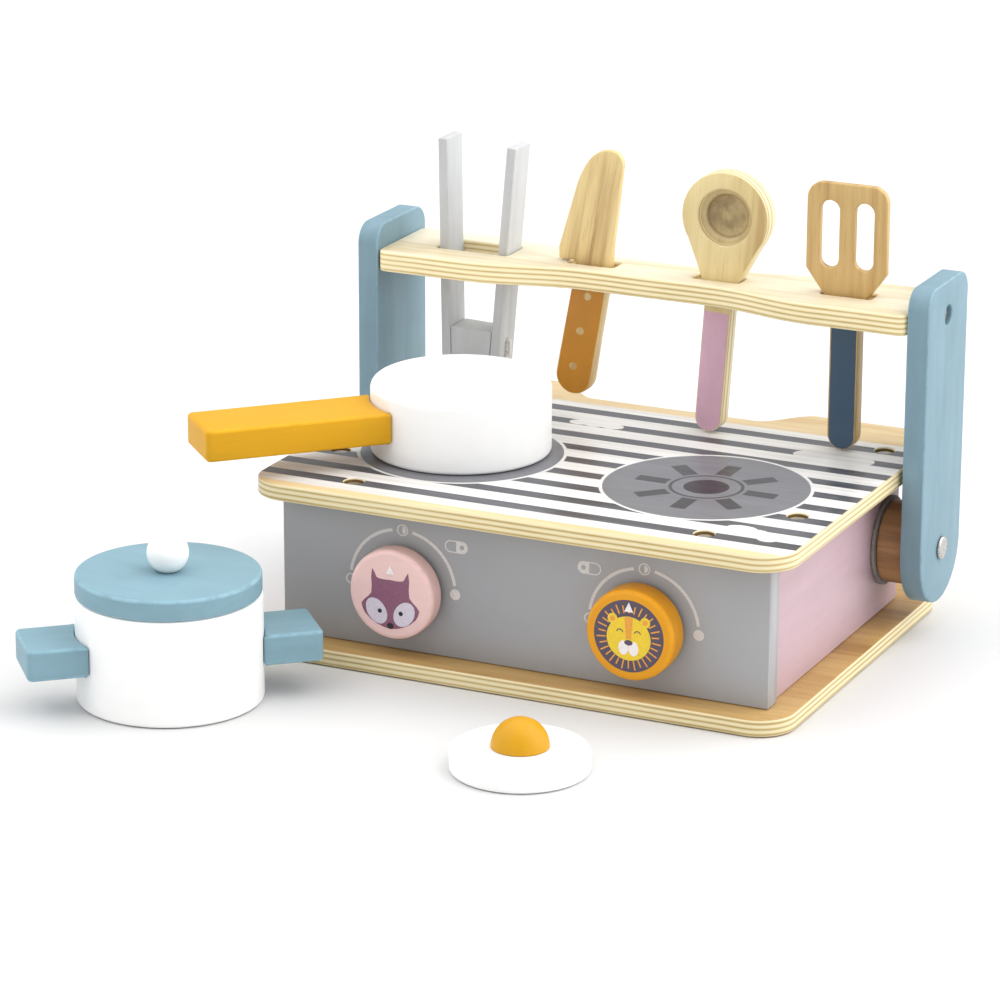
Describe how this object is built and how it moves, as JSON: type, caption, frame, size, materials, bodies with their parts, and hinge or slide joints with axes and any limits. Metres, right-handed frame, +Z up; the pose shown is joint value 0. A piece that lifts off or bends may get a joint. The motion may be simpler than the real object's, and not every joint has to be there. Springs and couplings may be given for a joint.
{
  "type": "toy kitchen",
  "caption": "Wooden toy hob on a low box with turning knobs and a fold-back utensil rack, with a pan, a lidded pot, a fried egg, tongs, a knife, a spoon and a spatula.",
  "frame": {"origin": "centre of the base board's underside, on the table", "axes": "+Z up, the knobs face -Y, +X to the right seen from the front"},
  "size_m": [0.3887, 0.3709, 0.2431],
  "materials": {
    "plywood": "printed or clear lacquered birch plywood, satin",
    "grey_painted_ply": "satin paint on plywood",
    "pink_painted_ply": "satin paint on plywood",
    "blue_painted_wood": "satin paint on solid wood",
    "brown_wood": "bare beech, matt",
    "grey_felt": "pressed felt",
    "steel": "bright steel",
    "orange_painted_wood": "satin paint on solid wood",
    "rose_painted_wood": "satin paint on solid wood",
    "white_painted_wood": "satin paint on solid wood",
    "natural_wood": "clear lacquered wood, handles partly painted",
    "grey_painted_wood": "satin paint on solid wood",
    "white_elastic": "round elastic cord"
  },
  "bodies": {
    "box": {"base_board": "plywood", "hob_board": "plywood", "front_panel": "grey_painted_ply", "back_panel": "plywood", "left_side_panel": "pink_painted_ply", "right_side_panel": "pink_painted_ply", "hob_screw_front_left": "steel", "hob_screw_front_right": "steel", "hob_screw_middle_left": "steel", "hob_screw_middle_right": "steel", "hob_screw_back_left": "steel", "hob_screw_back_right": "steel", "base_screw_front_left": "steel", "base_screw_front_right": "steel", "base_screw_middle_left": "steel", "base_screw_middle_right": "steel", "base_screw_back_left": "steel", "base_screw_back_right": "steel", "left_pivot_washer": "grey_felt", "left_pivot_spacer": "brown_wood", "left_pivot_bolt": "steel", "left_pivot_nut": "steel", "right_pivot_washer": "grey_felt", "right_pivot_spacer": "brown_wood", "right_pivot_bolt": "steel", "right_pivot_nut": "steel", "left_knob_washer": "grey_felt", "right_knob_washer": "grey_felt"},
    "rack": {"rack_shelf": "plywood", "left_rack_arm": "blue_painted_wood", "right_rack_arm": "blue_painted_wood", "left_shelf_screw": "steel", "right_shelf_screw": "steel"},
    "knife_body": {"knife": "natural_wood"},
    "spoon_body": {"spoon": "natural_wood"},
    "spatula_body": {"spatula": "natural_wood"},
    "tongs_middle": {"tongs_block": "grey_painted_wood", "tongs_elastic": "white_elastic"},
    "tongs_left": {"left_tong_arm": "grey_painted_wood"},
    "tongs_right": {"right_tong_arm": "grey_painted_wood"},
    "left_dial": {"left_knob": "rose_painted_wood", "left_knob_bolt": "steel", "left_knob_nut": "steel"},
    "right_dial": {"right_knob": "orange_painted_wood", "right_knob_bolt": "steel", "right_knob_nut": "steel"},
    "pan": {"pan_bowl": "white_painted_wood", "pan_handle": "orange_painted_wood", "pan_handle_dowel": "natural_wood"},
    "pot": {"pot_body": "white_painted_wood", "pot_handle_left": "blue_painted_wood", "pot_handle_right": "blue_painted_wood", "pot_dowel_left": "natural_wood", "pot_dowel_right": "natural_wood"},
    "lid": {"pot_lid": "blue_painted_wood", "lid_ball": "white_painted_wood", "lid_ball_dowel": "natural_wood"},
    "egg": {"egg_white": "white_painted_wood", "egg_yolk": "orange_painted_wood"}
  },
  "joints": [
    {"name": "rack_fold", "type": "hinge", "parent": "box", "child": "rack", "pos_m": [0, 0.0697, 0.0475], "axis": [-1, 0, 0], "range_deg": [0, 95]},
    {"name": "spoon_lift", "type": "slide", "parent": "rack", "child": "spoon_body", "axis": [0.068, 0, 0.9977], "range_m": [0, 0.06]},
    {"name": "spatula_lift", "type": "slide", "parent": "rack", "child": "spatula_body", "axis": [0, 0, 1], "range_m": [0, 0.06]},
    {"name": "knife_lift", "type": "slide", "parent": "rack", "child": "knife_body", "axis": [0.165, 0, 0.9863], "range_m": [0, 0.11]},
    {"name": "tongs_lift", "type": "slide", "parent": "rack", "child": "tongs_middle", "axis": [0.0332, 0, 0.9995], "range_m": [0, 0.09]},
    {"name": "left_tong_squeeze", "type": "hinge", "parent": "tongs_middle", "child": "tongs_left", "pos_m": [-0.11839, 0.0697, 0.13621], "axis": [0, 1, 0], "range_deg": [0, 9], "stiffness_Nm_per_rad": 0.05, "deforming": ["tongs_elastic"]},
    {"name": "right_tong_squeeze", "type": "hinge", "parent": "tongs_middle", "child": "tongs_right", "pos_m": [-0.09341, 0.0697, 0.13539], "axis": [0, -1, 0], "range_deg": [0, 9], "stiffness_Nm_per_rad": 0.05, "deforming": ["tongs_elastic"]},
    {"name": "left_knob_turn", "type": "hinge", "parent": "box", "child": "left_dial", "pos_m": [-0.0675, -0.105, 0.043], "axis": [0, -1, 0], "range_deg": [-90, 90]},
    {"name": "right_knob_turn", "type": "hinge", "parent": "box", "child": "right_dial", "pos_m": [0.0675, -0.105, 0.043], "axis": [0, -1, 0], "range_deg": [-90, 90]},
    {"name": "pan_lift", "type": "slide", "parent": "box", "child": "pan", "axis": [0, 0, 1], "range_m": [0, 0.12]},
    {"name": "pot_lift", "type": "slide", "parent": "box", "child": "pot", "axis": [0, 0, 1], "range_m": [0, 0.1]},
    {"name": "lid_lift", "type": "slide", "parent": "pot", "child": "lid", "axis": [0, 0, 1], "range_m": [0, 0.08]},
    {"name": "egg_lift", "type": "slide", "parent": "box", "child": "egg", "axis": [0, 0, 1], "range_m": [0, 0.1]}
  ],
  "couplings": [
    {"joint": "spoon_lift", "follows": "rack_fold", "m_per_rad": 0.034},
    {"joint": "spatula_lift", "follows": "rack_fold", "m_per_rad": 0.034},
    {"joint": "right_tong_squeeze", "follows": "left_tong_squeeze", "ratio": 1}
  ]
}
